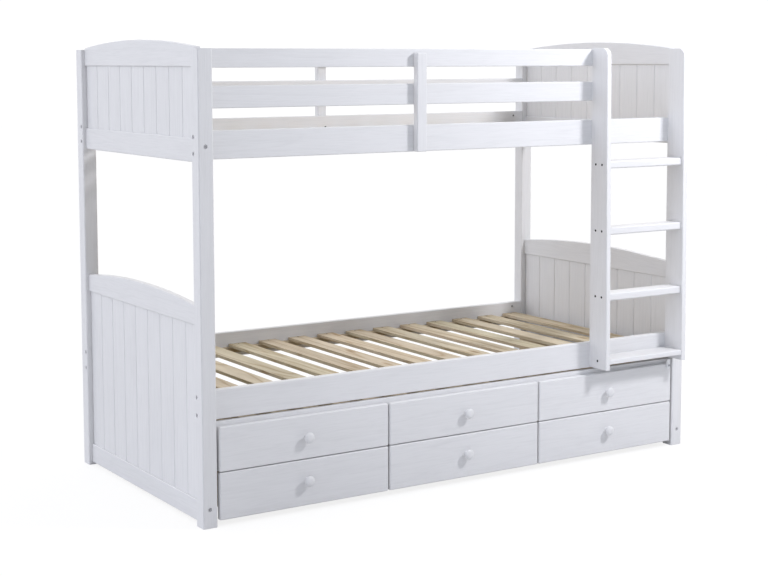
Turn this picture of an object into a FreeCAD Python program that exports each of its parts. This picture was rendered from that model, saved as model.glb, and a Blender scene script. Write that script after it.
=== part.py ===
import FreeCAD, Part
import math
import os

os.makedirs("parts", exist_ok=True)

V = FreeCAD.Vector

# All sizes are in millimetres. While building, X runs along the bed from the outer face of the left
# end, Y runs from the front face of the front posts to the back, Z runs up from the floor.

# Corner posts
bed_length = 2080.0
bed_width = 1017.0
post_height = 1545.0
post_size = 51.4
post_joint_height = 722.0
post_edge = 3.0

# Side rails and guard rails
rail_thickness = 25.0
rail_edge = 2.5
lower_rail_bottom = 349.0
lower_rail_height = 97.0
upper_rail_bottom = 1192.0
upper_rail_height = 92.0
guard_mid_bottom = 1354.0
guard_mid_height = 72.0
guard_top_height = 62.0
batten_width = 39.0
batten_thickness = 26.0
batten_top_drop = 14.0
back_batten_centre = 1032.0

# End panels of tongue and groove boards under an arched rail
panel_rail_inset = 13.0
panel_rail_thickness = 22.0
board_count = 9
board_thickness = 10.0
board_bevel = 3.0
board_gap = 0.2
tongue_thickness = 3.0
tongue_length = 6.0
panel_groove_depth = 10.0
arch_rise = 26.0
lower_panel_bottom = 10.0
lower_panel_rail_height = 70.0
lower_arch_bottom = 656.0
lower_arch_end_height = 62.0
upper_panel_bottom = 1183.0
upper_panel_rail_height = 77.0
upper_arch_bottom = 1487.0
upper_arch_end_height = 64.0
tenon_thickness = 12.0
tenon_length = 15.0
tenon_shoulder = 10.0

# Slats on ledgers
slat_count = 15
slat_width = 74.0
slat_thickness = 12.0
slat_left_margin = 50.0
slat_right_margin = 81.0
slat_drop = 46.0
ledger_size = 20.0

# Wedge ladder
ladder_width = 400.5
stile_thickness = 20.0
stile_foot_depth = 97.0
stile_top_depth = 84.0
stile_top_radius = 30.0
stile_edge = 1.5
ladder_foot_height = 352.0
ladder_top_height = 1549.0
tread_count = 3
top_tread_height = 1119.0
tread_spacing = 247.0
tread_thickness = 28.0
tread_depth = 69.0
tread_setback = 11.5
tread_screw_spacing = 35.0
step_height = 382.0
step_thickness = 20.0
step_setback = 2.0

# Trundle under the lower bunk
column_count = 3
trundle_side_gap = 9.0
trundle_top = 328.0
front_board_rise = 15.0
front_thickness = 20.0
front_edge = 3.0
column_gap = 6.0
false_front_height = 148.0
row_gap = 3.0
drawer_front_height = 157.0
trundle_board = 18.0
trundle_well_width = 902.0
trundle_board_bottom = 62.0
trundle_end_height = 238.0
trundle_slat_bottom = 200.0
trundle_slat_count = 14
trundle_slat_width = 70.0
trundle_slat_thickness = 15.0

# Drawers
drawer_depth = 460.0
drawer_side_height = 97.0
drawer_side_bottom = 68.0
drawer_side_thickness = 14.0
drawer_bottom_thickness = 6.0
drawer_side_gap = 5.0
runner_height = 16.0
runner_bottom = 105.0
runner_reach = 7.5
housing_depth = 6.0

# Knobs and turn button
knob_diameter = 37.0
knob_neck_diameter = 17.0
knob_length = 28.0
knob_spigot_diameter = 10.0
knob_spigot_length = 12.0
false_knob_height = 254.0
drawer_knob_height = 106.0
button_width = 15.6
button_length = 38.0
button_thickness = 6.0
button_pivot_height = 322.0
button_tail = 13.0
button_inset = 16.5

# Castors
wheel_diameter = 50.0
wheel_width = 14.0
wheel_edge = 2.0
axle_diameter = 6.0
fork_gauge = 2.0
fork_plate_width = 23.0
fork_plate_length = 60.0
cheek_top = 32.0
cheek_foot = 18.0
axle_head_length = 1.5
castor_front_inset = 80.0
castor_back_inset = 70.0

# Fasteners
bolt_diameter = 8.0
bolt_head_diameter = 15.0
bolt_head_length = 5.0
bolt_head_recess = 2.0
nut_diameter = 10.0
nut_length = 16.0
nut_distance = 48.0
bolt_edge_distance = 19.0
panel_bolt_height = 52.0
pin_diameter = 10.0
pin_length = 80.0
screw_diameter = 7.0
screw_length = 42.0
pivot_diameter = 5.0
pivot_head_diameter = 9.0
pivot_head_length = 3.0

# How many flat sides round pieces get
small_sides = 6
pin_sides = 8
pivot_sides = 8
knob_sides = 12
wheel_sides = 20

# Clearances
hole_clearance = 0.1
pivot_clearance = 0.05
moving_gap = 0.3
joint_clearance = 0.2
end_gap = 1.0
front_stop_gap = 0.5
wheel_side_gap = 0.5

# Positions that follow from the sizes above
inner_left = post_size
inner_right = bed_length - post_size
inner_front = post_size
inner_back = bed_width - post_size
rail_front = post_size - rail_thickness
rail_centre = post_size - rail_thickness / 2
guard_top_bottom = post_height - guard_top_height
ladder_right = inner_right
ladder_left = inner_right - ladder_width
foot_front = rail_front - stile_foot_depth
top_front = rail_front - stile_top_depth
batten_back = inner_back + rail_thickness + batten_thickness
frame_back = max(bed_width, batten_back)
to_frame = V(-bed_length / 2, -(foot_front + frame_back) / 2, 0)

ENDS = (("left", 0.0, 1), ("right", bed_length, -1))
SIDES = (("front", 0.0, 1), ("back", bed_width, -1))


def block(x0, x1, y0, y1, z0, z1):
    """A box between two corners, given in any order."""
    low = V(min(x0, x1), min(y0, y1), min(z0, z1))
    return Part.makeBox(abs(x1 - x0), abs(y1 - y0), abs(z1 - z0), low)


def eased(shape, size):
    """The piece with every edge taken off by a small chamfer."""
    return shape.makeChamfer(size, shape.Edges)


def eased_along(shape, size, axis):
    """The piece with only the edges along one axis taken off."""
    chosen = []
    for edge in shape.Edges:
        start = edge.Vertexes[0].Point
        finish = edge.Vertexes[-1].Point
        run = finish.sub(start)
        if abs(run.dot(axis)) > 0.999 * run.Length:
            chosen.append(edge)
    return shape.makeChamfer(size, chosen)


def ring(diameter, centre, direction, sides):
    """The corners of a regular polygon square to the direction."""
    upright = V(1, 0, 0) if abs(direction.z) > 0.5 else V(0, 0, 1)
    across = direction.cross(upright)
    points = []
    for index in range(sides):
        angle = 2 * math.pi * (index + 0.5) / sides
        spoke = across * math.cos(angle) + upright * math.sin(angle)
        points.append(centre + spoke * (diameter / 2))
    return points


def flat(corners):
    """A flat face between corners."""
    return Part.Face(Part.makePolygon([*corners, corners[0]]))


def rod(diameter, start, direction, length, sides=small_sides):
    """A straight round bar or hole, drawn with a few flat sides."""
    return flat(ring(diameter, start, direction, sides)).extrude(direction * length)


def turned(profile, start, direction, sides):
    """A turned piece through rings given as (diameter, distance from the start)."""
    rings = [ring(diameter, start + direction * along, direction, sides) for diameter, along in profile]
    faces = [flat(rings[0]), flat(rings[-1])]
    for near, far in zip(rings, rings[1:]):
        for index in range(sides):
            after = (index + 1) % sides
            faces.append(flat([near[index], near[after], far[after], far[index]]))
    shell = Part.makeShell(faces)
    shell.sewShape()
    solid = Part.makeSolid(shell)
    if solid.Volume < 0:
        solid.reverse()
    return solid


def one(shape):
    """A fused piece as one clean solid."""
    return shape.removeSplitter().Solids[0]


def save(name, solids):
    """Writes one node, moved so that the bed stands on the middle of its own outline."""
    group = solids[0].copy() if len(solids) == 1 else Part.makeCompound(solids)
    group.translate(to_frame)
    group.exportStep("parts/" + name + ".step")


# Fasteners come first, because the wooden pieces are drilled to suit them.
holes = []


def headed(start, direction, head_diameter, head_length, diameter, length, sides):
    """A bolt or pin with a flat head; the face of the head is at the start."""
    head = rod(head_diameter, start, direction, head_length, sides)
    return one(head.fuse(rod(diameter, start, direction, length, sides)))


def screw(start, direction, length=screw_length):
    """A wood screw with its head level with the surface at start, and the hole that it sits in."""
    outside = start - direction * end_gap
    holes.append(rod(screw_diameter + 2 * hole_clearance, outside, direction, end_gap + length))
    return rod(screw_diameter, start, direction, length)


def bolt(start, direction):
    """A bolt through a post, sunk below its face, that reaches the middle of its nut."""
    sunk = start + direction * bolt_head_recess
    outside = start - direction * end_gap
    counterbore = end_gap + bolt_head_recess + bolt_head_length
    holes.append(rod(bolt_head_diameter + 2 * hole_clearance, outside, direction, counterbore))
    length = post_size - bolt_head_recess + nut_distance
    holes.append(rod(bolt_diameter + 2 * hole_clearance, sunk, direction, length + end_gap))
    head = rod(bolt_head_diameter, sunk, direction, bolt_head_length)
    return one(head.fuse(rod(bolt_diameter, sunk, direction, length)))


def barrel_nut(face, direction):
    """The nut across a side rail, screwed onto its bolt and let in from the rail's inner face."""
    depth = rail_thickness / 2 + nut_length / 2
    outside = face - direction * end_gap
    holes.append(rod(nut_diameter + 2 * hole_clearance, outside, direction, end_gap + depth))
    return rod(nut_diameter, face + direction * (depth - nut_length), direction, nut_length)


def drilled(shape):
    """The piece with every hole that meets it cut out."""
    box = shape.BoundBox
    tools = [hole for hole in holes if box.intersect(hole.BoundBox)]
    if not tools:
        return shape
    return shape.cut(tools).Solids[0]


frame_bolts = []
for _, x_edge, x_sign in ENDS:
    along = V(x_sign, 0, 0)
    for _, y_edge, y_sign in SIDES:
        y = y_edge + y_sign * rail_centre
        inner_face = y_edge + y_sign * post_size
        nut_x = x_edge + x_sign * (post_size + nut_distance)
        for bottom, height in (
            (lower_rail_bottom, lower_rail_height),
            (upper_rail_bottom, upper_rail_height),
        ):
            for z in (bottom + bolt_edge_distance, bottom + height - bolt_edge_distance):
                rail_bolt = bolt(V(x_edge, y, z), along)
                nut = barrel_nut(V(nut_x, inner_face, z), V(0, -y_sign, 0))
                frame_bolts.append(one(rail_bolt.fuse(nut)))

for _, x_edge, x_sign in ENDS:
    x = x_edge + x_sign * (panel_rail_inset + panel_rail_thickness / 2)
    for _, y_edge, y_sign in SIDES:
        for bottom in (lower_panel_bottom, upper_panel_bottom):
            frame_bolts.append(bolt(V(x, y_edge, bottom + panel_bolt_height), V(0, y_sign, 0)))

post_pins = []
for _, x_edge, x_sign in ENDS:
    for _, y_edge, y_sign in SIDES:
        x = x_edge + x_sign * post_size / 2
        y = y_edge + y_sign * post_size / 2
        pin_start = V(x, y, post_joint_height - pin_length / 2)
        post_pins.append(rod(pin_diameter, pin_start, V(0, 0, 1), pin_length, pin_sides))
        pin_hole = pin_diameter + 2 * hole_clearance
        holes.append(rod(pin_hole, pin_start, V(0, 0, 1), pin_length, pin_sides))


def stile_front(z):
    """Where the sloping front edge of the ladder stiles is at a height."""
    share = (z - ladder_foot_height) / (ladder_top_height - ladder_foot_height)
    return foot_front + (top_front - foot_front) * share


tread_heights = [top_tread_height - index * tread_spacing for index in range(tread_count)]
ladder_screws = []
for x, x_sign in ((ladder_left, 1), (ladder_right, -1)):
    for z in tread_heights:
        middle = stile_front(z) + tread_setback + tread_depth / 2
        for y in (middle - tread_screw_spacing / 2, middle + tread_screw_spacing / 2):
            ladder_screws.append(screw(V(x, y, z), V(x_sign, 0, 0)))
    step_middle = (stile_front(step_height) + step_setback + rail_front) / 2
    ladder_screws.append(screw(V(x, step_middle, step_height), V(x_sign, 0, 0)))

upper_rail_middle = upper_rail_bottom + upper_rail_height / 2
lower_rail_middle = lower_rail_bottom + lower_rail_height / 2
guard_top_middle = guard_top_bottom + guard_top_height / 2
for x, heights in (
    (ladder_left + stile_thickness / 2, (lower_rail_middle, guard_top_middle)),
    (ladder_right - stile_thickness / 2, (lower_rail_middle, upper_rail_middle)),
):
    for z in heights:
        ladder_screws.append(screw(V(x, inner_front, z), V(0, -1, 0), screw_length + rail_thickness))

front_batten_centre = (inner_left + ladder_left + stile_thickness) / 2
batten_screws = []
for x, y, y_sign in (
    (front_batten_centre, inner_front, -1),
    (back_batten_centre, inner_back, 1),
):
    for z in (upper_rail_middle, guard_top_middle):
        batten_screws.append(screw(V(x, y, z), V(0, y_sign, 0)))

save("frame_bolts", frame_bolts)
save("post_pins", post_pins)
save("frame_screws", ladder_screws + batten_screws)


# End panels
panel_inner = panel_rail_inset + panel_rail_thickness
board_inset = panel_rail_inset + (panel_rail_thickness - board_thickness) / 2
panel_width = inner_back - inner_front
tenon_inset = panel_rail_inset + (panel_rail_thickness - tenon_thickness) / 2


def groove(x_edge, x_sign, bottom):
    """The long groove in a panel rail that holds the board ends."""
    x0 = x_edge + x_sign * (board_inset - joint_clearance)
    x1 = x_edge + x_sign * (board_inset + board_thickness + joint_clearance)
    return block(x0, x1, inner_front, inner_back, bottom, bottom + panel_groove_depth)


def bottom_rail(x_edge, x_sign, bottom, height):
    x0 = x_edge + x_sign * panel_rail_inset
    x1 = x_edge + x_sign * panel_inner
    blank = eased_along(block(x0, x1, inner_front, inner_back, bottom, bottom + height), 2.0, V(0, 1, 0))
    return drilled(blank.cut(groove(x_edge, x_sign, bottom + height - panel_groove_depth)))


def arched_rail(x_edge, x_sign, bottom, end_height):
    """A top rail, straight below and arched above, with a tenon at each end."""
    x0 = x_edge + x_sign * panel_rail_inset
    x1 = x_edge + x_sign * panel_inner
    start = min(x0, x1)
    shoulder = bottom + end_height
    crown = V(start, bed_width / 2, shoulder + arch_rise)
    arc = Part.Arc(V(start, inner_front, shoulder), crown, V(start, inner_back, shoulder))
    outline = Part.Wire(
        [
            Part.makeLine(V(start, inner_front, bottom), V(start, inner_front, shoulder)),
            arc.toShape(),
            Part.makeLine(V(start, inner_back, shoulder), V(start, inner_back, bottom)),
            Part.makeLine(V(start, inner_back, bottom), V(start, inner_front, bottom)),
        ]
    )
    rail = Part.Face(outline).extrude(V(panel_rail_thickness, 0, 0))
    long_edges = [edge for edge in rail.Edges if edge.Length > panel_width / 2]
    rail = rail.makeChamfer(2.0, long_edges).cut(groove(x_edge, x_sign, bottom))
    for y_edge, y_sign in ((inner_front, -1), (inner_back, 1)):
        tenon = block(
            x_edge + x_sign * tenon_inset,
            x_edge + x_sign * (tenon_inset + tenon_thickness),
            y_edge,
            y_edge + y_sign * tenon_length,
            bottom + tenon_shoulder + joint_clearance,
            bottom + tenon_shoulder + arch_tenon_height - joint_clearance,
        )
        rail = rail.fuse(tenon)
        mortise = block(
            x_edge + x_sign * (tenon_inset - joint_clearance),
            x_edge + x_sign * (tenon_inset + tenon_thickness + joint_clearance),
            y_edge,
            y_edge + y_sign * (tenon_length + end_gap),
            bottom + tenon_shoulder,
            bottom + tenon_shoulder + arch_tenon_height,
        )
        mortises.append(mortise)
    return one(rail)


mortises = []
arch_tenon_height = lower_arch_end_height - 2 * tenon_shoulder
board_pitch = (panel_width - 2 * joint_clearance) / board_count


def board_outline(x0, y0, y1, with_groove, with_tongue):
    """The section of one board: bevelled face edges, a groove on one side and a tongue on the other."""
    x1 = x0 + board_thickness
    middle = (x0 + x1) / 2
    half = tongue_thickness / 2
    slot = half + joint_clearance
    points = [(x0, y0 + board_bevel), (x0, y1 - board_bevel), (x0 + board_bevel, y1)]
    if with_tongue:
        tip = y1 + tongue_length
        points += [(middle - half, y1), (middle - half, tip), (middle + half, tip), (middle + half, y1)]
    points += [(x1 - board_bevel, y1), (x1, y1 - board_bevel), (x1, y0 + board_bevel)]
    points += [(x1 - board_bevel, y0)]
    if with_groove:
        floor = y0 + tongue_length + end_gap
        points += [(middle + slot, y0), (middle + slot, floor), (middle - slot, floor), (middle - slot, y0)]
    points += [(x0 + board_bevel, y0)]
    return points


def boards(x_edge, x_sign, bottom, top):
    """The row of boards of one panel, each a solid of its own."""
    x0 = min(x_edge + x_sign * board_inset, x_edge + x_sign * (board_inset + board_thickness))
    row = []
    for index in range(board_count):
        y0 = inner_front + joint_clearance + index * board_pitch + board_gap / 2
        y1 = y0 + board_pitch - board_gap
        points = board_outline(x0, y0, y1, index > 0, index < board_count - 1)
        corners = [V(x, y, bottom) for x, y in points]
        corners.append(corners[0])
        row.append(Part.Face(Part.makePolygon(corners)).extrude(V(0, 0, top - bottom)))
    return row


for end, x_edge, x_sign in ENDS:
    for level, bottom, rail_height, arch_bottom, end_height in (
        ("lower", lower_panel_bottom, lower_panel_rail_height, lower_arch_bottom, lower_arch_end_height),
        ("upper", upper_panel_bottom, upper_panel_rail_height, upper_arch_bottom, upper_arch_end_height),
    ):
        name = level + "_" + end
        rails = [
            bottom_rail(x_edge, x_sign, bottom, rail_height),
            arched_rail(x_edge, x_sign, arch_bottom, end_height),
        ]
        save(name + "_panel_rails", rails)
        boards_bottom = bottom + rail_height - panel_groove_depth
        boards_top = arch_bottom + panel_groove_depth - end_gap
        save(name + "_panel_boards", boards(x_edge, x_sign, boards_bottom, boards_top))


# Side rails and guard rails
def long_rail(x0, x1, y_edge, y_sign, bottom, height):
    outer = y_edge + y_sign * rail_front
    inner = y_edge + y_sign * post_size
    return eased_along(block(x0, x1, outer, inner, bottom, bottom + height), rail_edge, V(1, 0, 0))


def rail_tenon(x_edge, x_sign, y_edge, y_sign, bottom, height):
    """A tenon on the end of a guard rail, with its mortise added to the list for the posts."""
    y0 = y_edge + y_sign * (rail_centre - tenon_thickness / 2)
    y1 = y_edge + y_sign * (rail_centre + tenon_thickness / 2)
    z0 = bottom + tenon_shoulder
    z1 = bottom + height - tenon_shoulder
    mortises.append(
        block(
            x_edge,
            x_edge - x_sign * (tenon_length + end_gap),
            y0 - y_sign * joint_clearance,
            y1 + y_sign * joint_clearance,
            z0 - joint_clearance,
            z1 + joint_clearance,
        )
    )
    return block(x_edge, x_edge - x_sign * tenon_length, y0, y1, z0, z1)


for side, y_edge, y_sign in SIDES:
    for level, bottom, height in (
        ("lower", lower_rail_bottom, lower_rail_height),
        ("upper", upper_rail_bottom, upper_rail_height),
    ):
        rail = long_rail(inner_left, inner_right, y_edge, y_sign, bottom, height)
        save(level + "_" + side + "_side_rail", [drilled(rail)])

for side, y_edge, y_sign in SIDES:
    right = inner_right
    if side == "front":
        right = ladder_left + stile_thickness
    for level, bottom, height in (
        ("middle", guard_mid_bottom, guard_mid_height),
        ("top", guard_top_bottom, guard_top_height),
    ):
        rail = long_rail(inner_left, right, y_edge, y_sign, bottom, height)
        rail = rail.fuse(rail_tenon(inner_left, 1, y_edge, y_sign, bottom, height))
        if side == "back":
            rail = rail.fuse(rail_tenon(inner_right, -1, y_edge, y_sign, bottom, height))
        save(side + "_guard_" + level + "_rail", [drilled(one(rail))])

battens = []
for x, y0, y1 in (
    (front_batten_centre, rail_front - batten_thickness, rail_front),
    (back_batten_centre, inner_back + rail_thickness, batten_back),
):
    left = x - batten_width / 2
    piece = block(left, left + batten_width, y0, y1, upper_rail_bottom, post_height - batten_top_drop)
    battens.append(drilled(eased(piece, 2.0)))
save("guard_battens", battens)


# Posts, in two halves at every corner
for end, x_edge, x_sign in ENDS:
    for side, y_edge, y_sign in SIDES:
        for level, bottom, top in (
            ("lower", 0.0, post_joint_height),
            ("upper", post_joint_height, post_height),
        ):
            outer = block(
                x_edge, x_edge + x_sign * post_size, y_edge, y_edge + y_sign * post_size, bottom, top
            )
            post = eased_along(outer, post_edge, V(0, 0, 1))
            near = [hole for hole in mortises if post.BoundBox.intersect(hole.BoundBox)]
            if near:
                post = post.cut(near)
            save(level + "_" + side + "_" + end + "_post", [drilled(post)])


# Slats and their ledgers
ledgers = []
for rail_bottom, rail_height in (
    (lower_rail_bottom, lower_rail_height),
    (upper_rail_bottom, upper_rail_height),
):
    top = rail_bottom + rail_height - slat_drop - slat_thickness
    for _, y_edge, y_sign in SIDES:
        inner = y_edge + y_sign * post_size
        outer_edge = inner + y_sign * ledger_size
        bottom = top - ledger_size
        ledgers.append(block(inner_left + end_gap, inner_right - end_gap, inner, outer_edge, bottom, top))
save("slat_ledgers", ledgers)

slat_pitch = (bed_length - slat_left_margin - slat_right_margin - slat_width) / (slat_count - 1)
for level, rail_bottom, rail_height in (
    ("lower", lower_rail_bottom, lower_rail_height),
    ("upper", upper_rail_bottom, upper_rail_height),
):
    top = rail_bottom + rail_height - slat_drop
    slats = []
    for index in range(slat_count):
        left = slat_left_margin + index * slat_pitch
        right = left + slat_width
        bottom = top - slat_thickness
        slats.append(block(left, right, inner_front + end_gap, inner_back - end_gap, bottom, top))
    save(level + "_slats", slats)


# Wedge ladder
def stile(x):
    """One side of the ladder: straight behind, sloping in front, rounded at the top front corner."""
    corner = V(x, top_front, ladder_top_height)
    slope = (V(x, foot_front, ladder_foot_height) - corner).normalize()
    flat = V(0, 1, 0)
    bisector = (slope + flat).normalize()
    half_cosine = bisector.dot(flat)
    half_sine = (1 - half_cosine * half_cosine) ** 0.5
    centre = corner + bisector * (stile_top_radius / half_sine)
    back_off = stile_top_radius * half_cosine / half_sine
    on_slope = corner + slope * back_off
    on_top = corner + flat * back_off
    on_arc = centre - bisector * stile_top_radius
    foot = V(x, foot_front, ladder_foot_height)
    foot_back = V(x, rail_front, ladder_foot_height)
    top_back = V(x, rail_front, ladder_top_height)
    outline = Part.Wire(
        [
            Part.makeLine(foot_back, foot),
            Part.makeLine(foot, on_slope),
            Part.Arc(on_slope, on_arc, on_top).toShape(),
            Part.makeLine(on_top, top_back),
            Part.makeLine(top_back, foot_back),
        ]
    )
    board = Part.Face(outline).extrude(V(stile_thickness, 0, 0))
    across = [edge for edge in board.Edges if abs(edge.Length - stile_thickness) > 0.01]
    front = [edge for edge in across if edge.BoundBox.YMin < rail_front - 1.0]
    return drilled(board.makeChamfer(stile_edge, front))


save("ladder_left_stile", [stile(ladder_left)])
save("ladder_right_stile", [stile(ladder_right - stile_thickness)])

tread_left = ladder_left + stile_thickness
tread_right = ladder_right - stile_thickness
treads = []
for z in tread_heights:
    front = stile_front(z) + tread_setback
    tread = block(
        tread_left, tread_right, front, front + tread_depth, z - tread_thickness / 2, z + tread_thickness / 2
    )
    treads.append(drilled(eased_along(tread, 4.0, V(1, 0, 0))))
save("ladder_treads", treads)

step = block(
    tread_left,
    tread_right,
    stile_front(step_height) + step_setback,
    rail_front,
    step_height - step_thickness / 2,
    step_height + step_thickness / 2,
)
save("ladder_bottom_step", [drilled(eased_along(step, 3.0, V(1, 0, 0)))])


# Trundle: front boards, cross boards and slats
trundle_left = inner_left + trundle_side_gap
trundle_right = inner_right - trundle_side_gap
column_width = (trundle_right - trundle_left - column_gap * (column_count - 1)) / column_count
board_front = front_thickness
board_rear = front_thickness + trundle_board
well_back = board_rear + trundle_well_width
trundle_back = well_back + trundle_board
front_board_bottom = trundle_top - false_front_height
false_bottom = trundle_top - false_front_height
drawer_top = false_bottom - row_gap
drawer_bottom_edge = drawer_top - drawer_front_height
column_lefts = [trundle_left + index * (column_width + column_gap) for index in range(column_count)]
column_middles = [left + column_width / 2 for left in column_lefts]

button_x = trundle_right - button_inset
trundle_screws = []
for left in column_lefts:
    start = V(left + column_width / 4, board_rear, false_bottom + false_front_height / 2)
    trundle_screws.append(screw(start, V(0, -1, 0), trundle_board + front_thickness / 2))
button_face = button_thickness + 2 * moving_gap
pivot_start = V(button_x, -button_face - pivot_head_length, button_pivot_height)
pivot_length = button_face + pivot_head_length + front_thickness / 2
pivot_head = (pivot_head_diameter, pivot_head_length)
trundle_screws.append(headed(pivot_start, V(0, 1, 0), *pivot_head, pivot_diameter, pivot_length, pivot_sides))
pivot_hole = V(button_x, -end_gap, button_pivot_height)
pivot_depth = end_gap + front_thickness / 2
holes.append(rod(pivot_diameter + 2 * hole_clearance, pivot_hole, V(0, 1, 0), pivot_depth, pivot_sides))

for x in column_middles:
    for z in (false_knob_height, drawer_knob_height):
        spigot_hole = knob_spigot_diameter + 2 * hole_clearance
        hole_length = knob_spigot_length + 2 * end_gap
        holes.append(rod(spigot_hole, V(x, -end_gap, z), V(0, 1, 0), hole_length))

front_board = block(
    trundle_left,
    trundle_right,
    board_front,
    board_rear,
    front_board_bottom,
    trundle_top + front_board_rise,
)
save("trundle_front_board", [drilled(eased_along(front_board, 1.0, V(1, 0, 0)))])

back_board = block(
    trundle_left,
    trundle_right,
    well_back,
    trundle_back,
    trundle_board_bottom,
    trundle_slat_bottom + trundle_slat_thickness,
)
save("trundle_back_board", [eased_along(back_board, 2.0, V(1, 0, 0))])

cross_centres = [trundle_left + trundle_board / 2]
for left in column_lefts[1:]:
    cross_centres.append(left - column_gap / 2)
cross_centres.append(trundle_right - trundle_board / 2)
cross_boards = []
for index, x in enumerate(cross_centres):
    outermost = index in (0, len(cross_centres) - 1)
    top = trundle_slat_bottom
    if outermost:
        top = trundle_board_bottom + trundle_end_height
    board = block(
        x - trundle_board / 2,
        x + trundle_board / 2,
        board_front + front_stop_gap,
        well_back,
        trundle_board_bottom,
        top,
    )
    cross_boards.append(one(board.cut(front_board)))

ledger_front = block(
    cross_centres[0] + trundle_board / 2,
    cross_centres[-1] - trundle_board / 2,
    board_rear,
    board_rear + ledger_size,
    trundle_slat_bottom - ledger_size,
    trundle_slat_bottom,
)
ledger_back = ledger_front.copy()
ledger_back.translate(V(0, trundle_well_width - ledger_size, 0))
divider_notches = [ledger_front, ledger_back]
save("trundle_cross_boards", [cross_boards[0]] + [
    one(board.cut(divider_notches)) for board in cross_boards[1:-1]
] + [cross_boards[-1]])

runner_length = drawer_depth
runner_width = drawer_side_gap + runner_reach
runners = []
cells = []
for index in range(column_count):
    cell_left = cross_centres[index] + trundle_board / 2
    cell_right = cross_centres[index + 1] - trundle_board / 2
    cells.append((cell_left, cell_right))
    for x0, x1 in ((cell_left, cell_left + runner_width), (cell_right - runner_width, cell_right)):
        runners.append(
            block(
                x0,
                x1,
                board_front + front_stop_gap,
                board_front + runner_length,
                runner_bottom + moving_gap,
                runner_bottom + runner_height - moving_gap,
            )
        )
save("drawer_runners", runners)

slats_left = cross_centres[0] + trundle_board / 2
slats_right = cross_centres[-1] - trundle_board / 2
open_length = slats_right - slats_left - trundle_slat_width * trundle_slat_count
trundle_pitch = open_length / (trundle_slat_count + 1)
trundle_slats = []
for index in range(trundle_slat_count):
    left = slats_left + trundle_pitch + index * (trundle_slat_width + trundle_pitch)
    slat = block(
        left,
        left + trundle_slat_width,
        board_rear + end_gap,
        well_back - end_gap,
        trundle_slat_bottom,
        trundle_slat_bottom + trundle_slat_thickness,
    )
    trundle_slats.append(slat)
save("trundle_slats", trundle_slats)
save("trundle_ledgers", [ledger_front, ledger_back])


def knob(x, z):
    """A turned knob with a spigot that goes into the front."""
    rim = knob_diameter
    neck = knob_neck_diameter
    profile = [
        (neck + 3.0, 0),
        (neck, knob_length * 0.25),
        (neck + 2.0, knob_length * 0.42),
        (rim, knob_length * 0.6),
        (rim - 3.0, knob_length * 0.8),
        (rim * 0.36, knob_length),
    ]
    face = V(x, 0, z)
    grip = turned(profile, face, V(0, -1, 0), knob_sides)
    spigot_start = face - V(0, end_gap, 0)
    spigot = rod(knob_spigot_diameter, spigot_start, V(0, 1, 0), end_gap + knob_spigot_length)
    return one(grip.fuse(spigot))


false_fronts = []
for left in column_lefts:
    panel = block(left, left + column_width, 0, front_thickness, false_bottom, trundle_top)
    false_fronts.append(drilled(eased(panel, front_edge)))
save("false_fronts", false_fronts)
save("false_front_knobs", [knob(x, false_knob_height) for x in column_middles])
save("trundle_screws", trundle_screws)


# Turn button on the right false front
button_bottom = button_pivot_height - button_tail
button = block(
    button_x - button_width / 2,
    button_x + button_width / 2,
    -button_thickness - moving_gap,
    -moving_gap,
    button_bottom,
    button_bottom + button_length,
)
corners = [edge for edge in button.Edges if abs(edge.BoundBox.YLength - button_thickness) < 0.01]
button = button.makeChamfer(button_width / 4, corners)
bore = (pivot_diameter + 2 * pivot_clearance) / math.cos(math.pi / pivot_sides)
pivot_bore = rod(
    bore,
    V(button_x, -2 * button_thickness, button_pivot_height),
    V(0, 1, 0),
    3 * button_thickness,
    pivot_sides,
)
save("turn_button", [button.cut(pivot_bore).Solids[0]])


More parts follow.
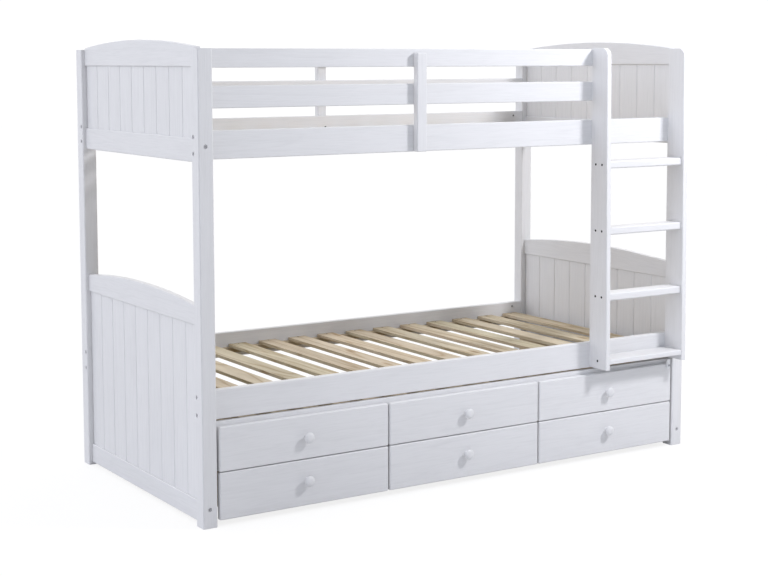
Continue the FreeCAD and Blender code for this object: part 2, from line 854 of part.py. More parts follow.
# Drawers
for index in range(column_count):
    number = str(index + 1)
    left = column_lefts[index]
    cell_left, cell_right = cells[index]
    box_left = cell_left + drawer_side_gap
    box_right = cell_right - drawer_side_gap
    side_top = drawer_side_bottom + drawer_side_height
    housing = front_thickness - housing_depth
    rear = front_thickness + drawer_depth
    floor_z = drawer_side_bottom + drawer_bottom_thickness
    floor_top = floor_z + drawer_bottom_thickness
    floor_panel = block(
        box_left + drawer_side_thickness - housing_depth + joint_clearance,
        box_right - drawer_side_thickness + housing_depth - joint_clearance,
        housing + joint_clearance,
        rear,
        floor_z,
        floor_top,
    )
    floor_groove = block(
        box_left + drawer_side_thickness - housing_depth,
        box_right - drawer_side_thickness + housing_depth,
        housing,
        rear + end_gap,
        floor_z,
        floor_top + joint_clearance,
    )
    back_panel = block(
        box_left + drawer_side_thickness - housing_depth + joint_clearance,
        box_right - drawer_side_thickness + housing_depth - joint_clearance,
        rear - drawer_side_thickness * 2,
        rear - drawer_side_thickness,
        floor_top,
        side_top,
    )
    back_housing = block(
        box_left + drawer_side_thickness - housing_depth,
        box_right - drawer_side_thickness + housing_depth,
        rear - drawer_side_thickness * 2,
        rear - drawer_side_thickness,
        floor_top,
        side_top + end_gap,
    )
    sides = []
    for x0, x1, groove_x in (
        (box_left, box_left + drawer_side_thickness, box_left + runner_reach + front_stop_gap),
        (box_right, box_right - drawer_side_thickness, box_right - runner_reach - front_stop_gap),
    ):
        side_board = block(x0, x1, housing, rear, drawer_side_bottom, side_top)
        runner_groove = block(
            x0, groove_x, front_thickness, rear + end_gap, runner_bottom, runner_bottom + runner_height
        )
        sides.append(side_board.cut([runner_groove, floor_groove, back_housing]).Solids[0])
    front = block(left, left + column_width, 0, front_thickness, drawer_bottom_edge, drawer_top)
    front = drilled(eased(front, front_edge))
    side_blanks = [
        block(box_left, box_left + drawer_side_thickness, housing, rear, drawer_side_bottom, side_top),
        block(box_right, box_right - drawer_side_thickness, housing, rear, drawer_side_bottom, side_top),
    ]
    front = front.cut(side_blanks + [floor_groove]).Solids[0]
    save("drawer_" + number + "_front", [front])
    save("drawer_" + number + "_box", sides + [back_panel, floor_panel])
    save("drawer_" + number + "_knob", [knob(column_middles[index], drawer_knob_height)])


# Castors: a folded bracket, its axle and a wheel under both ends of the outer cross boards
def bracket(x, y):
    """The bracket under a cross board, with a cheek on each side of the wheel."""
    axle_height = wheel_diameter / 2
    plate_bottom = trundle_board_bottom - fork_gauge
    shape = block(
        x - fork_plate_width / 2,
        x + fork_plate_width / 2,
        y - fork_plate_length / 2,
        y + fork_plate_length / 2,
        plate_bottom,
        trundle_board_bottom,
    )
    cheek_gap = wheel_width / 2 + wheel_side_gap
    for x0 in (x - cheek_gap - fork_gauge, x + cheek_gap):
        corners = [
            V(x0, y - cheek_top / 2, plate_bottom),
            V(x0, y - cheek_foot / 2, axle_height),
            V(x0, y - cheek_foot / 4, axle_height - cheek_foot / 2),
            V(x0, y + cheek_foot / 4, axle_height - cheek_foot / 2),
            V(x0, y + cheek_foot / 2, axle_height),
            V(x0, y + cheek_top / 2, plate_bottom),
        ]
        corners.append(corners[0])
        shape = shape.fuse(Part.Face(Part.makePolygon(corners)).extrude(V(fork_gauge, 0, 0)))
    axle_hole = axle_diameter + 2 * hole_clearance
    start = V(x - fork_plate_width, y, axle_height)
    hole = rod(axle_hole, start, V(1, 0, 0), 2 * fork_plate_width, pivot_sides)
    return one(shape.cut(hole))


def axle(x, y):
    """The pin through both cheeks, with its head against the left one."""
    reach = wheel_width / 2 + wheel_side_gap + fork_gauge
    start = V(x - reach - axle_head_length, y, wheel_diameter / 2)
    length = 2 * reach + axle_head_length + end_gap
    head = axle_diameter + 2 * axle_head_length
    return headed(start, V(1, 0, 0), head, axle_head_length, axle_diameter, length, pivot_sides)


def wheel(x, y):
    """A plain castor wheel that turns on the axle."""
    start = V(x - wheel_width / 2, y, wheel_diameter / 2)
    side = wheel_diameter - 2 * wheel_edge
    profile = [
        (side, 0),
        (wheel_diameter, wheel_edge),
        (wheel_diameter, wheel_width - wheel_edge),
        (side, wheel_width),
    ]
    tyre = turned(profile, start, V(1, 0, 0), wheel_sides)
    bore = (axle_diameter + 2 * pivot_clearance) / math.cos(math.pi / pivot_sides)
    bore_start = start - V(end_gap, 0, 0)
    return tyre.cut(rod(bore, bore_start, V(1, 0, 0), wheel_width + 2 * end_gap, pivot_sides)).Solids[0]


brackets = []
for end, x in (("left", cross_centres[0]), ("right", cross_centres[-1])):
    for place, y in (
        ("front", board_front + castor_front_inset),
        ("back", trundle_back - castor_back_inset),
    ):
        brackets += [bracket(x, y), axle(x, y)]
        save("castor_wheel_" + place + "_" + end, [wheel(x, y)])
save("castor_brackets", brackets)
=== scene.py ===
import math

import bpy
from mathutils import Matrix, Vector


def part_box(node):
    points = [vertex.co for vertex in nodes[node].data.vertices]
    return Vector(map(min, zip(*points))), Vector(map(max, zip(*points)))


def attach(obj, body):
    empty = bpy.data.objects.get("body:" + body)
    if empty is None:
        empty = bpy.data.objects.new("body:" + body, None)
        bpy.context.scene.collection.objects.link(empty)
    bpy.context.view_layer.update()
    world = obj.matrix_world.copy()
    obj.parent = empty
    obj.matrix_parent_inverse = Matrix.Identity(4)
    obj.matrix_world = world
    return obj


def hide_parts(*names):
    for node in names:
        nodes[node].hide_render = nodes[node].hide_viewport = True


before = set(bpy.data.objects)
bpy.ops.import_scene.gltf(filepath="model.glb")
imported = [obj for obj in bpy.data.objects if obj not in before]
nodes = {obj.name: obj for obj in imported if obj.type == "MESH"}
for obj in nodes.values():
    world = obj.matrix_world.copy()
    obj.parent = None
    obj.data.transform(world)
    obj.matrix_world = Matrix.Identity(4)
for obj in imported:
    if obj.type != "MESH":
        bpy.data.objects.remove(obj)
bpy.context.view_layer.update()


# Node helpers


def new_material(name):
    """A material with its node tree and its surface shader."""
    made = bpy.data.materials.new(name)
    made.use_nodes = True
    return made, made.node_tree, made.node_tree.nodes["Principled BSDF"]


def add(tree, kind, settings=None, **values):
    """A node with some settings and plain input values; input names use _ for a space."""
    made = tree.nodes.new(kind)
    for key, value in (settings or {}).items():
        setattr(made, key, value)
    for key, value in values.items():
        made.inputs[key.replace("_", " ")].default_value = value
    return made


def link(tree, source, output, target, name):
    """A link from one node's output to another's input, each by its name or number."""
    tree.links.new(source.outputs[output], target.inputs[name])


def stretched(tree, scale):
    """Frame coordinates in metres, scaled on each axis."""
    place = add(tree, "ShaderNodeTexCoord")
    mapping = add(tree, "ShaderNodeMapping", Scale=scale)
    link(tree, place, "Object", mapping, "Vector")
    return mapping


def noise(tree, mapping, detail, rough=0.55, distortion=0.0):
    """Smooth noise in the coordinates of a mapping."""
    made = add(tree, "ShaderNodeTexNoise", Scale=1.0, Detail=detail, Roughness=rough, Distortion=distortion)
    link(tree, mapping, "Vector", made, "Vector")
    return made


def ramp(tree, source, output, stops):
    """Colours along a value, as (place, colour) stops."""
    made = add(tree, "ShaderNodeValToRGB")
    line = made.color_ramp.elements
    while len(line) < len(stops):
        line.new(0.5)
    for element, (place, colour) in zip(line, stops):
        element.position = place
        element.color = (*colour, 1.0)
    link(tree, source, output, made, "Fac")
    return made


# Numbers of a mix node's sockets for colours. It has others of the same names for other kinds of data.
mix_factor = 0
mix_first = 6
mix_second = 7
mix_colour = 2


def multiplied(tree, first, second, share=1.0):
    """The colour of one node times that of a second, which counts by a share."""
    made = add(tree, "ShaderNodeMix", {"data_type": "RGBA", "blend_type": "MULTIPLY"})
    made.inputs[mix_factor].default_value = share
    for node, place in ((first, mix_first), (second, mix_second)):
        output = "Color" if "Color" in node.outputs else mix_colour
        link(tree, node, output, made, place)
    return made


def grey(value):
    """A grey colour."""
    return (value, value, value)


def along_axis(axis, along, across):
    """A scale for X, Y and Z with one value along the grain and another across it."""
    return tuple(along if index == "XYZ".index(axis) else across for index in range(3))


# Materials


def tinted(colour, share):
    """A colour with each channel times a share."""
    return tuple(channel * share for channel in colour)


def folded(tree, source, times):
    """A value that runs up and down, like the rings of wood, along a slow field."""
    bands = add(tree, "ShaderNodeMath", {"operation": "MULTIPLY"})
    bands.inputs[1].default_value = times
    link(tree, source, "Fac", bands, 0)
    made = add(tree, "ShaderNodeMath", {"operation": "PINGPONG"})
    made.inputs[1].default_value = 1.0
    link(tree, bands, 0, made, 0)
    return made


def painted_pine(axis, name, shade):
    """White paint over pine, its grain along one axis showing faintly through."""
    made, tree, surface = new_material(name)
    fibre_space = stretched(tree, along_axis(axis, 11.0, 210.0))
    streaks = noise(tree, fibre_space, detail=3.0, rough=0.6, distortion=0.6)
    ring_space = stretched(tree, along_axis(axis, 0.8, 13.0))
    rings = folded(tree, noise(tree, ring_space, detail=2.0, rough=0.5, distortion=0.9), times=11.0)
    mottle = noise(tree, stretched(tree, (4.0, 4.0, 4.0)), detail=2.0)
    own = add(tree, "ShaderNodeNewGeometry")
    light = tinted(shade, 1.015)
    dark = tinted(shade, 0.972)
    base = ramp(tree, streaks, "Fac", [(0.34, dark), (0.5, shade), (0.7, light)])
    grain = ramp(tree, rings, 0, [(0.0, grey(0.975)), (0.3, grey(1.0)), (1.0, grey(1.0))])
    tone = ramp(tree, mottle, "Fac", [(0.3, grey(0.98)), (0.7, grey(1.0))])
    board = ramp(tree, own, "Random Per Island", [(0.0, grey(0.985)), (1.0, grey(1.0))])
    together = multiplied(tree, base, grain)
    toned = multiplied(tree, together, tone)
    final = multiplied(tree, toned, board)
    link(tree, final, mix_colour, surface, "Base Color")
    gloss = ramp(tree, streaks, "Fac", [(0.3, grey(0.52)), (0.7, grey(0.4))])
    link(tree, gloss, "Color", surface, "Roughness")
    fine = add(tree, "ShaderNodeBump", Strength=0.3, Distance=0.0005)
    link(tree, streaks, "Fac", fine, "Height")
    broad = add(tree, "ShaderNodeBump", Strength=0.22, Distance=0.0006)
    link(tree, rings, 0, broad, "Height")
    link(tree, fine, "Normal", broad, "Normal")
    link(tree, broad, "Normal", surface, "Normal")
    surface.inputs["Specular IOR Level"].default_value = 0.4
    return made


def bare_pine(axis, name, tone=1.0):
    """Planed pine without a finish, its grain along one axis; every board has its own figure and tone."""
    made, tree, surface = new_material(name)
    place = add(tree, "ShaderNodeTexCoord")
    own = add(tree, "ShaderNodeNewGeometry")
    spread = add(tree, "ShaderNodeVectorMath", {"operation": "SCALE"})
    furthest_shift = (17.0, 9.0, 13.0)
    spread.inputs[0].default_value = furthest_shift
    link(tree, own, "Random Per Island", spread, "Scale")
    shift = add(tree, "ShaderNodeVectorMath", {"operation": "ADD"})
    link(tree, spread, 0, shift, 0)
    link(tree, place, "Object", shift, 1)

    def board_space(along, across):
        """Coordinates that start at another place on each board."""
        mapping = add(tree, "ShaderNodeMapping", Scale=along_axis(axis, along, across))
        link(tree, shift, 0, mapping, "Vector")
        return mapping

    field = noise(tree, board_space(0.7, 11.0), detail=2.0, rough=0.5, distortion=0.6)
    rings = folded(tree, field, times=15.0)
    late = tinted((0.50, 0.385, 0.245), tone)
    early = tinted((0.66, 0.565, 0.425), tone)
    pale = tinted((0.72, 0.635, 0.50), tone)
    wood = ramp(tree, rings, 0, [(0.0, late), (0.3, early), (1.0, pale)])
    fibres = noise(tree, board_space(12.0, 420.0), detail=3.0, rough=0.6)
    fleck = ramp(tree, fibres, "Fac", [(0.3, grey(0.88)), (0.6, grey(1.0))])
    board_tints = [
        (0.0, (0.84, 0.80, 0.74)),
        (0.3, (1.0, 0.98, 0.95)),
        (0.6, (0.85, 0.87, 0.79)),
        (1.0, (1.0, 0.95, 0.90)),
    ]
    tint = ramp(tree, own, "Random Per Island", board_tints)
    grained = multiplied(tree, wood, fleck)
    toned = multiplied(tree, grained, tint)
    blotch = noise(tree, board_space(3.0, 9.0), detail=2.0)
    weathered = ramp(tree, blotch, "Fac", [(0.3, (0.84, 0.83, 0.80)), (0.6, grey(1.0))])
    uneven = multiplied(tree, toned, weathered)
    knots = add(tree, "ShaderNodeTexVoronoi", Scale=1.0)
    link(tree, board_space(3.2, 12.0), "Vector", knots, "Vector")
    knot_tints = [
        (0.04, (0.36, 0.24, 0.14)),
        (0.09, (0.66, 0.52, 0.38)),
        (0.17, grey(1.0)),
    ]
    spot = ramp(tree, knots, "Distance", knot_tints)
    final = multiplied(tree, uneven, spot, share=0.8)
    link(tree, final, mix_colour, surface, "Base Color")
    surface.inputs["Roughness"].default_value = 0.62
    surface.inputs["Specular IOR Level"].default_value = 0.3
    fine = add(tree, "ShaderNodeBump", Strength=0.5, Distance=0.0004)
    link(tree, fibres, "Fac", fine, "Height")
    link(tree, fine, "Normal", surface, "Normal")
    return made


def metal(name, colour, rough, metallic=1.0):
    """Plated or painted steel with a fine mottle."""
    made, tree, surface = new_material(name)
    field = noise(tree, stretched(tree, (260.0, 260.0, 260.0)), detail=4.0)
    shade = ramp(tree, field, "Fac", [(0.3, tinted(colour, 0.8)), (0.65, colour)])
    link(tree, shade, "Color", surface, "Base Color")
    gloss = ramp(tree, field, "Fac", [(0.3, grey(rough + 0.14)), (0.7, grey(rough))])
    link(tree, gloss, "Color", surface, "Roughness")
    surface.inputs["Metallic"].default_value = metallic
    fine = add(tree, "ShaderNodeBump", Strength=0.2, Distance=0.0002)
    link(tree, field, "Fac", fine, "Height")
    link(tree, fine, "Normal", surface, "Normal")
    return made


def plastic(name, colour, rough):
    """Moulded plastic with a fine texture."""
    made, tree, surface = new_material(name)
    field = noise(tree, stretched(tree, (900.0, 900.0, 900.0)), detail=2.0)
    shade = ramp(tree, field, "Fac", [(0.3, tinted(colour, 0.93)), (0.7, colour)])
    link(tree, shade, "Color", surface, "Base Color")
    gloss = ramp(tree, field, "Fac", [(0.3, grey(rough + 0.08)), (0.7, grey(rough))])
    link(tree, gloss, "Color", surface, "Roughness")
    fine = add(tree, "ShaderNodeBump", Strength=0.15, Distance=0.0001)
    link(tree, field, "Fac", fine, "Height")
    link(tree, fine, "Normal", surface, "Normal")
    return made


paint_shade = (0.78, 0.78, 0.785)
paint = {axis: painted_pine(axis, "white_paint_" + axis.lower(), paint_shade) for axis in "XYZ"}
slat_pine = bare_pine("Y", "slat_pine")
ledger_pine = bare_pine("X", "ledger_pine")
board_pine = {axis: bare_pine(axis, "plain_board_" + axis.lower(), tone=1.05) for axis in "XY"}
# Steel coloured near black for the screws, slat screws and barrel nuts: painted shade that stands for the
# shadow in their sockets and holes.
painted_shade_steel = metal("steel_painted_recess_shade", (0.012, 0.012, 0.014), rough=0.6)
white_lacquer = metal("lacquered_steel", (0.70, 0.70, 0.71), rough=0.4, metallic=0.0)
zinc = metal("zinc_steel", (0.55, 0.56, 0.58), rough=0.32)
bracket_steel = metal("bracket_steel", (0.42, 0.43, 0.45), rough=0.4)
white_plastic = plastic("white_plastic", (0.85, 0.86, 0.87), rough=0.35)
wheel_plastic = plastic("wheel_plastic", (0.05, 0.05, 0.055), rough=0.45)


# Which material each CAD node wears, and how its edges are rounded


def worn_by(name):
    """The material of a CAD node, with its grain along the node's boards."""
    if name in ("lower_slats", "upper_slats", "trundle_slats"):
        return slat_pine
    if name in ("slat_ledgers", "trundle_ledgers"):
        return ledger_pine
    if name == "trundle_back_board":
        return board_pine["X"]
    if name in ("trundle_cross_boards", "drawer_runners") or name.endswith("_box"):
        return board_pine["Y"]
    if name in ("post_pins", "frame_bolts", "frame_screws", "trundle_screws"):
        return zinc
    if name == "castor_brackets":
        return bracket_steel
    if name == "turn_button":
        return white_plastic
    if name.startswith("castor_wheel"):
        return wheel_plastic
    if name.endswith("panel_rails"):
        return paint["Y"]
    if name.endswith(("_post", "panel_boards", "_stile", "guard_battens")):
        return paint["Z"]
    return paint["X"]


def edge_width(name):
    """How wide the rounding of a node's edges is: broad on the fronts, finest on metal and plain boards."""
    if name in ("trundle_front_board", "false_fronts") or name.endswith("_front"):
        return 0.0024
    if worn_by(name) in (slat_pine, ledger_pine, *paint.values()):
        return 0.0011
    return 0.0005


weld_distance = 0.00002
flat_angle = math.radians(0.5)
rounded_angle = math.radians(28)
for name, piece in nodes.items():
    piece.data.materials.clear()
    piece.data.materials.append(worn_by(name))
    if "knob" in name:
        continue
    weld = piece.modifiers.new("weld", "WELD")
    weld.merge_threshold = weld_distance
    merge = piece.modifiers.new("flat", "DECIMATE")
    merge.decimate_type = "DISSOLVE"
    merge.angle_limit = flat_angle
    edge = piece.modifiers.new("edge", "BEVEL")
    edge.width = edge_width(name)
    edge.segments = 2
    edge.limit_method = "ANGLE"
    edge.angle_limit = rounded_angle


# Pieces made here

smooth_angle = math.radians(35)


class Builder:
    """Gathers faces into one mesh."""

    def __init__(self):
        self.points = []
        self.faces = []

    def turned(self, profile, start, direction, sides):
        """Rings of (radius, distance) about an axis, closed at both ends."""
        direction = Vector(direction).normalized()
        side = direction.orthogonal().normalized()
        other = direction.cross(side)
        first = len(self.points)
        for radius, along in profile:
            for step in range(sides):
                angle = 2 * math.pi * step / sides
                spoke = side * math.cos(angle) + other * math.sin(angle)
                self.points.append(Vector(start) + direction * along + spoke * radius)
        for ring in range(len(profile) - 1):
            for step in range(sides):
                here = first + ring * sides
                above = here + sides
                after = (step + 1) % sides
                self.faces.append((here + step, here + after, above + after, above + step))
        last = first + (len(profile) - 1) * sides
        self.faces.append(tuple(first + step for step in reversed(range(sides))))
        self.faces.append(tuple(last + step for step in range(sides)))

    def made(self, name, material, body, slot, replaced=()):
        """The piece with the faces gathered so far, which rides a body and can replace CAD nodes."""
        mesh = bpy.data.meshes.new(name)
        mesh.from_pydata([tuple(point) for point in self.points], [], self.faces)
        mesh.update()
        mesh.shade_smooth()
        mesh.set_sharp_from_angle(angle=smooth_angle)
        mesh.materials.append(material)
        piece = bpy.data.objects.new(name, mesh)
        bpy.context.scene.collection.objects.link(piece)
        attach(piece, body)
        if replaced:
            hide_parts(*replaced)


def smooth_line(points, steps):
    """Points on a smooth curve that passes through the given ones, with steps points for each part."""
    line = []
    for index in range(len(points) - 1):
        before = Vector(points[max(index - 1, 0)])
        start = Vector(points[index])
        end = Vector(points[index + 1])
        after = Vector(points[min(index + 2, len(points) - 1)])
        for step in range(steps):
            t = step / steps
            line.append(
                0.5
                * (
                    2 * start
                    + (end - before) * t
                    + (2 * before - 5 * start + 4 * end - after) * t**2
                    + (3 * start - 3 * end + after - before) * t**3
                )
            )
    line.append(Vector(points[-1]))
    return [(point[0], point[1]) for point in line]


def islands(name):
    """Boxes of the separate solids in a node, as (lowest corner, highest corner)."""
    mesh = nodes[name].data
    spots = {}
    owner = []
    for vertex in mesh.vertices:
        key = tuple(round(value, 5) for value in vertex.co)
        owner.append(spots.setdefault(key, len(spots)))
    parent = list(range(len(spots)))

    def root(index):
        while parent[index] != index:
            parent[index] = parent[parent[index]]
            index = parent[index]
        return index

    for edge in mesh.edges:
        first, second = (root(owner[vertex]) for vertex in edge.vertices)
        parent[first] = second
    groups = {}
    for key, index in spots.items():
        groups.setdefault(root(index), []).append(key)
    boxes = []
    for group in groups.values():
        low = Vector(tuple(min(point[axis] for point in group) for axis in range(3)))
        high = Vector(tuple(max(point[axis] for point in group) for axis in range(3)))
        boxes.append((low, high))
    return sorted(boxes, key=lambda box: tuple(box[0]))


# Half the outline of a knob for turning, from its foot to its face, as (radius, distance along the axis)
knob_line = [
    (0.0098, 0.0),
    (0.0084, 0.0035),
    (0.0081, 0.0075),
    (0.0092, 0.0115),
    (0.0150, 0.0142),
    (0.0181, 0.0170),
    (0.0183, 0.0195),
    (0.0166, 0.0229),
    (0.0120, 0.0262),
    (0.0060, 0.0277),
    (0.0004, 0.0280),
]
knob_length = knob_line[-1][1]


def add_knob(builder, box):
    """A turned knob in the box of a CAD knob, with its face to the front."""
    low, high = box
    middle = (low + high) / 2
    foot = (middle.x, low.y + knob_length, middle.z)
    builder.turned(smooth_line(knob_line, steps=5), foot, (0, -1, 0), sides=56)


false_knobs = Builder()
for box in islands("false_front_knobs"):
    add_knob(false_knobs, box)
false_knobs.made("false_front_turned_knobs", paint["X"], "trundle", "white_paint", ["false_front_knobs"])
for number in "123":
    knob = Builder()
    add_knob(knob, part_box("drawer_" + number + "_knob"))
    drawer = "drawer_" + number
    knob.made(drawer + "_turned_knob", paint["X"], drawer, "white_paint", [drawer + "_knob"])


def hexagon(angle):
    """How far a hexagon's outline lies from its middle at an angle, as a share of its corner's distance."""
    return math.cos(math.pi / 6) / math.cos(angle % (math.pi / 3) - math.pi / 6)


def add_socket_head(builder, face, inward, radius, sunk, grip):
    """A fastener head with a rounded rim and a hexagonal socket, on the axis that goes inward from face.

    Its top lies sunk below face, and the part behind the rim has the radius grip. All heads have the same
    proportions, so each ring is given in shares of the head's or the socket's radius.
    """
    socket = radius * 0.52
    outline = [
        (grip, sunk + 3.0 * radius, False),
        (grip, sunk + 0.35 * radius, False),
        (radius, sunk + 0.3 * radius, False),
        (radius * 0.9, sunk + 0.08 * radius, False),
        (radius * 0.78, sunk, False),
        (socket * 1.12, sunk, True),
        (socket, sunk + 0.1 * radius, True),
        (socket, sunk + 0.8 * radius, True),
        (socket * 0.2, sunk + 0.95 * radius, True),
    ]
    inward = Vector(inward)
    side = inward.orthogonal().normalized()
    other = inward.cross(side)
    first = len(builder.points)
    steps = 24
    for distance, depth, is_hexagon in outline:
        for step in range(steps):
            angle = 2 * math.pi * step / steps
            reach = distance * (hexagon(angle) if is_hexagon else 1.0)
            spoke = side * math.cos(angle) + other * math.sin(angle)
            builder.points.append(Vector(face) + inward * depth + spoke * reach)
    for ring in range(len(outline) - 1):
        for step in range(steps):
            here = first + ring * steps
            above = here + steps
            after = (step + 1) % steps
            builder.faces.append((here + step, above + step, above + after, here + after))
    last = first + (len(outline) - 1) * steps
    builder.faces.append(tuple(first + step for step in range(steps)))
    builder.faces.append(tuple(last + step for step in reversed(range(steps))))


def head_place(box, centre, outward):
    """The middle of a fastener's head end, the way it goes in, and its length.

    Its head is the end that lies away from centre, or with outward False the end nearer to it.
    """
    low, high = box
    size = high - low
    axis = max(range(3), key=lambda index: size[index])
    face = (low + high) / 2
    beyond = (face[axis] > centre[axis]) == outward
    face[axis] = high[axis] if beyond else low[axis]
    inward = Vector((0.0, 0.0, 0.0))
    inward[axis] = -1.0 if beyond else 1.0
    return face, inward, size[axis]


def add_fastener(builder, place, radius, shank, sunk=0.0, grip=None):
    """A socket head with its pointed shank, on the axis of a CAD fastener."""
    face, inward, length = place
    add_socket_head(builder, face, inward, radius, sunk, grip or radius)
    shank_start = sunk + 2.5 * radius
    point_start = length * 0.9
    point_radius = shank * 0.3
    profile = [(shank, shank_start), (shank, point_start), (point_radius, length)]
    builder.turned(profile, face, inward, sides=16)


bed_middle = Vector((0.0, 0.0, 0.8))
ladder_middle = (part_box("ladder_left_stile")[0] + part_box("ladder_right_stile")[1]) / 2
screw_shank = 0.0019
nut_radius = 0.0043
nut_rim = 0.0005
bolts = Builder()
nuts = Builder()
for box in islands("frame_bolts"):
    low, high = box
    place = head_place(box, bed_middle, outward=True)
    add_fastener(bolts, place, radius=0.0063, shank=0.0038)
    face, inward, length = place
    runs_along_bed = abs(inward.x) > 0.5
    if runs_along_bed:
        nut_x = face.x + inward.x * (length - nut_radius)
        nut_start = (nut_x, low.y, face.z)
        nut_length = high.y - low.y
        nut_line = [
            (nut_radius - nut_rim, 0.0),
            (nut_radius, nut_rim),
            (nut_radius, nut_length - nut_rim),
            (nut_radius - nut_rim, nut_length),
        ]
        nuts.turned(nut_line, nut_start, (0, 1, 0), sides=24)
bolts.made("frame_socket_bolts", white_lacquer, "bed", "white_paint", ["frame_bolts"])
nuts.made("frame_barrel_nuts", painted_shade_steel, "bed", "zinc_steel")

# The screws along the bed hold the treads, with heads on the outer faces of the stiles. The others go
# from the inside of the rails into the battens and stiles.
screws = Builder()
for box in islands("frame_screws"):
    low, high = box
    runs_along_bed = high.x - low.x > high.y - low.y
    place = head_place(box, ladder_middle if runs_along_bed else bed_middle, outward=runs_along_bed)
    add_fastener(screws, place, radius=0.0049, shank=screw_shank, sunk=-0.0004, grip=0.0036)
screws.made("frame_socket_screws", painted_shade_steel, "bed", "zinc_steel", ["frame_screws"])

trundle_fixings = Builder()
for box in islands("trundle_screws"):
    is_pivot = box[0].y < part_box("turn_button")[0].y
    place = head_place(box, bed_middle, outward=is_pivot)
    add_fastener(trundle_fixings, place, radius=0.0042 if is_pivot else 0.0033, shank=screw_shank)
trundle_fixings.made("trundle_socket_screws", zinc, "trundle", "zinc_steel", ["trundle_screws"])

slat_screw_radius = 0.0036
slat_screw_rise = 0.0003
slat_screw_inset = 0.014


def add_slat_screws(builder, name):
    """A small screw near each end of each slat, its head a little above the slat's top, coloured near black
    as painted shade of its socket.
    """
    for low, high in islands(name):
        for y in (low.y + slat_screw_inset, high.y - slat_screw_inset):
            face = Vector(((low.x + high.x) / 2, y, high.z + slat_screw_rise))
            add_socket_head(builder, face, (0, 0, -1), slat_screw_radius, sunk=0.0, grip=slat_screw_radius)


slat_screws = Builder()
add_slat_screws(slat_screws, "lower_slats")
add_slat_screws(slat_screws, "upper_slats")
slat_screws.made("slat_screws", painted_shade_steel, "bed", "zinc_steel")
trundle_slat_screws = Builder()
add_slat_screws(trundle_slat_screws, "trundle_slats")
trundle_slat_screws.made("trundle_slat_screws", painted_shade_steel, "trundle", "zinc_steel")

wheel_width = 0.014
wheel_line = [
    (0.0034, 0.0),
    (0.0090, 0.0),
    (0.0100, 0.0012),
    (0.0190, 0.0014),
    (0.0202, 0.0002),
    (0.0228, 0.0001),
    (0.0245, 0.0012),
    (0.0250, 0.0032),
]

# The outline so far reaches the tread, and its mirror image goes on from there to the other side.
wheel_profile = smooth_line(wheel_line, steps=3)
wheel_profile += [(radius, wheel_width - along) for radius, along in reversed(wheel_profile)]
for name in [name for name in nodes if name.startswith("castor_wheel")]:
    low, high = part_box(name)
    middle = (low + high) / 2
    wheel = Builder()
    wheel.turned(wheel_profile, (low.x, middle.y, middle.z), (1, 0, 0), sides=48)
    wheel.made(name + "_tyre", wheel_plastic, name, "wheel_plastic", [name])


# Floor, light and camera

floor_mesh = bpy.data.meshes.new("floor")
reach = 30.0
corners = [(-reach, -reach, 0), (reach, -reach, 0), (reach, reach, 0), (-reach, reach, 0)]
floor_mesh.from_pydata(corners, [], [(0, 1, 2, 3)])
floor = bpy.data.objects.new("floor", floor_mesh)
bpy.context.scene.collection.objects.link(floor)
# The eye sees the floor almost as white as the backdrop, with only a faint trace of its shadows.
floor_paint, floor_tree, floor_surface = new_material("studio_floor")
floor_surface.inputs["Base Color"].default_value = (0.7, 0.7, 0.7, 1.0)
floor_surface.inputs["Roughness"].default_value = 0.9
floor_surface.inputs["Specular IOR Level"].default_value = 0.1
floor_glow = add(floor_tree, "ShaderNodeEmission", Color=(1.0, 1.0, 1.0, 1.0), Strength=1.12)
floor_seen = add(floor_tree, "ShaderNodeLightPath")
glowing_share = 0.75
floor_share = add(floor_tree, "ShaderNodeMath", {"operation": "MULTIPLY"})
floor_share.inputs[1].default_value = glowing_share
floor_mix = add(floor_tree, "ShaderNodeMixShader")
link(floor_tree, floor_seen, "Is Camera Ray", floor_share, 0)
link(floor_tree, floor_share, 0, floor_mix, 0)
link(floor_tree, floor_surface, 0, floor_mix, 1)
link(floor_tree, floor_glow, 0, floor_mix, 2)
link(floor_tree, floor_mix, 0, floor_tree.nodes["Material Output"], "Surface")
floor_mesh.materials.append(floor_paint)

world = bpy.data.worlds.new("studio")
world.use_nodes = True
sky = world.node_tree
way = add(sky, "ShaderNodeTexCoord")


def glow(direction, strength, colour, before):
    """Soft light from one side of the studio, strongest from direction, added to the light before it."""
    facing = add(sky, "ShaderNodeVectorMath", {"operation": "DOT_PRODUCT"})
    facing.inputs[1].default_value = Vector(direction).normalized()
    link(sky, way, "Generated", facing, 0)
    positive = add(sky, "ShaderNodeMath", {"operation": "MAXIMUM"})
    positive.inputs[1].default_value = 0.0
    link(sky, facing, "Value", positive, 0)
    squared = add(sky, "ShaderNodeMath", {"operation": "POWER"})
    squared.inputs[1].default_value = 2.0
    link(sky, positive, 0, squared, 0)
    scaled = add(sky, "ShaderNodeMath", {"operation": "MULTIPLY"})
    scaled.inputs[1].default_value = strength
    link(sky, squared, 0, scaled, 0)
    light = add(sky, "ShaderNodeBackground", Color=(*colour, 1.0))
    link(sky, scaled, 0, light, "Strength")
    if before is None:
        return light
    together = add(sky, "ShaderNodeAddShader")
    link(sky, before, 0, together, 0)
    link(sky, light, 0, together, 1)
    return together


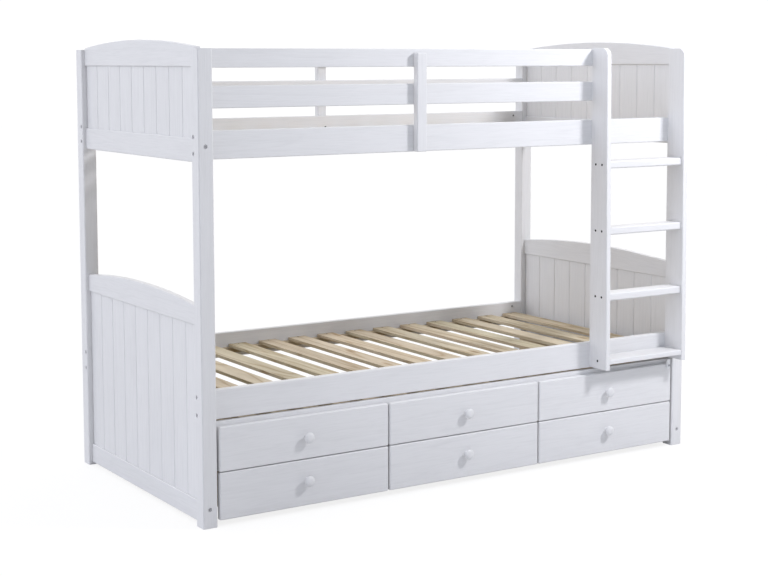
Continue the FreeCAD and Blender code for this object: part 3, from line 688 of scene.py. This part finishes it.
around = glow((1.0, 0.0, 0.2), strength=0.75, colour=(1.0, 0.97, 0.96), before=None)
around = glow((-1.0, 0.0, 0.2), strength=1.3, colour=(0.94, 0.97, 1.1), before=around)
around = glow((0.0, 1.0, 0.2), strength=1.45, colour=(1.0, 1.0, 1.0), before=around)
around = glow((0.0, 0.0, 1.0), strength=0.65, colour=(0.98, 0.99, 1.02), before=around)
backdrop = sky.nodes["Background"]
backdrop.inputs["Color"].default_value = (1.0, 1.0, 1.0, 1.0)
backdrop.inputs["Strength"].default_value = 1.05
seen = add(sky, "ShaderNodeLightPath")
either = add(sky, "ShaderNodeMixShader")
link(sky, seen, "Is Camera Ray", either, 0)
link(sky, around, 0, either, 1)
link(sky, backdrop, 0, either, 2)
link(sky, either, 0, sky.nodes["World Output"], "Surface")
bpy.context.scene.world = world


def softbox(name, place, target, size, power, colour):
    """A square lamp at place, size metres wide, that shines towards target with a power in watts."""
    lamp = bpy.data.lights.new(name, "AREA")
    lamp.shape = "SQUARE"
    lamp.size = size
    lamp.energy = power
    lamp.color = colour
    made = bpy.data.objects.new(name, lamp)
    made.location = place
    made.rotation_euler = (Vector(target) - Vector(place)).to_track_quat("-Z", "Y").to_euler()
    bpy.context.scene.collection.objects.link(made)


softbox("key", (1.6, -2.2, 2.65), (0.6, 0.0, 0.8), size=0.4, power=52.0, colour=(0.98, 0.98, 1.03))
softbox("front", (0.3, -3.5, 1.8), (0.3, 0.0, 0.9), size=1.2, power=7.0, colour=(0.8, 0.95, 1.2))

photo_width = 768
focal_pixels = 1556.72
camera_data = bpy.data.cameras.new("camera")
camera_data.sensor_width = 36.0
camera_data.lens = focal_pixels / photo_width * camera_data.sensor_width
camera_data.shift_y = -0.10
camera_data.clip_start = 0.1
camera_data.clip_end = 200.0
camera = bpy.data.objects.new("camera", camera_data)
yaw, pitch, roll = 0.56977, 0.09710, -0.00167
ahead = Vector((math.sin(yaw) * math.cos(pitch), math.cos(yaw) * math.cos(pitch), -math.sin(pitch)))
right = Vector((math.cos(yaw), -math.sin(yaw), 0.0))
up = right.cross(ahead)
side = right * math.cos(roll) + up * math.sin(roll)
top = up * math.cos(roll) - right * math.sin(roll)
turn = Matrix((side, top, -ahead)).transposed()
camera.rotation_mode = "QUATERNION"
camera.rotation_quaternion = turn.to_quaternion()
camera.location = (-3.18913, -4.90863, 1.50800)
bpy.context.scene.collection.objects.link(camera)
bpy.context.scene.camera = camera
bpy.context.scene.view_settings.view_transform = "Standard"
bpy.context.scene.view_settings.look = "None"
